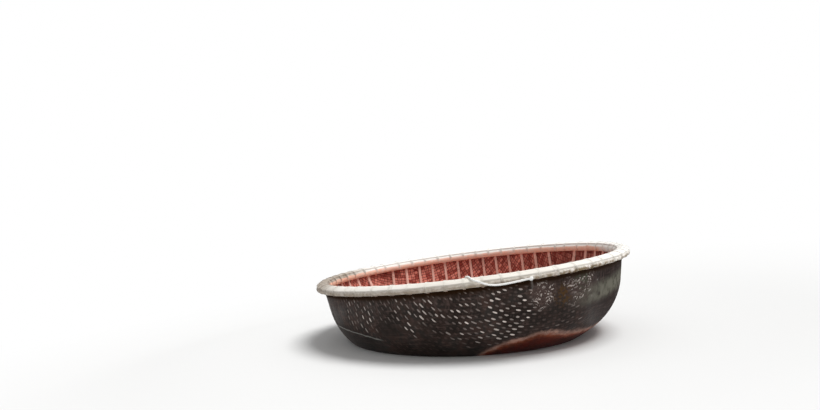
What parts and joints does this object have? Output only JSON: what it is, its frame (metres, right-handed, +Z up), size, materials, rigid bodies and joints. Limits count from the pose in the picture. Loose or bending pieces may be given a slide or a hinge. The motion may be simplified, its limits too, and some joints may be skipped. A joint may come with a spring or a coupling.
{
  "type": "coracle",
  "caption": "Round woven-bamboo basket boat: a tarred bowl-shaped hull with crossing inner ribs, a hooped and lashed rim and a plank bench on bamboo poles, with its mooring rope.",
  "frame": {"origin": "on the hull's axis at the level waterline", "axes": "+Z up along the hull's axis, +X along the bench, +Y across it, away from the side that the rope is on"},
  "size_m": [2.0954, 2.1116, 0.7084],
  "materials": {
    "tarred_weave": "woven split bamboo under black-brown tar, satin",
    "rim_bamboo": "sun-bleached split bamboo, dull",
    "lashing": "weathered split cane, dull",
    "rib_bamboo": "split bamboo stained by resin, dull",
    "bench_wood": "worn bare plank, dull",
    "pole_bamboo": "aged bamboo pole, satin",
    "rope": "white laid cord, dull"
  },
  "bodies": {
    "root": {"bench_bearer_1": "pole_bamboo", "bench_bearer_2": "pole_bamboo", "bench_plank_1": "bench_wood", "bench_plank_2": "bench_wood", "bench_plank_3": "bench_wood", "bench_ties_1": "lashing", "bench_ties_2": "lashing", "hull": "tarred_weave", "rib_athwart_01": "rib_bamboo", "rib_athwart_02": "rib_bamboo", "rib_athwart_03": "rib_bamboo", "rib_athwart_04": "rib_bamboo", "rib_athwart_05": "rib_bamboo", "rib_athwart_06": "rib_bamboo", "rib_athwart_07": "rib_bamboo", "rib_athwart_08": "rib_bamboo", "rib_athwart_09": "rib_bamboo", "rib_athwart_10": "rib_bamboo", "rib_athwart_11": "rib_bamboo", "rib_athwart_12": "rib_bamboo", "rib_athwart_13": "rib_bamboo", "rib_fore_aft_01": "rib_bamboo", "rib_fore_aft_02": "rib_bamboo", "rib_fore_aft_03": "rib_bamboo", "rib_fore_aft_04": "rib_bamboo", "rib_fore_aft_05": "rib_bamboo", "rib_fore_aft_06": "rib_bamboo", "rib_fore_aft_07": "rib_bamboo", "rib_fore_aft_08": "rib_bamboo", "rib_fore_aft_09": "rib_bamboo", "rib_fore_aft_10": "rib_bamboo", "rib_fore_aft_11": "rib_bamboo", "rib_fore_aft_12": "rib_bamboo", "rib_fore_aft_13": "rib_bamboo", "rim_cap_strip_1": "rim_bamboo", "rim_cap_strip_2": "rim_bamboo", "rim_cap_strip_3": "rim_bamboo", "rim_inner_hoop": "rim_bamboo", "rim_lashings_1": "lashing", "rim_lashings_2": "lashing", "rim_lashings_3": "lashing", "rim_lashings_4": "lashing", "rim_outer_hoop": "rim_bamboo", "rim_packing_hoop": "rim_bamboo", "rope": "rope", "rope_end_knot": "rope", "rope_knot": "rope", "rope_tail": "rope", "rope_tail_knot": "rope"}
  },
  "joints": []
}
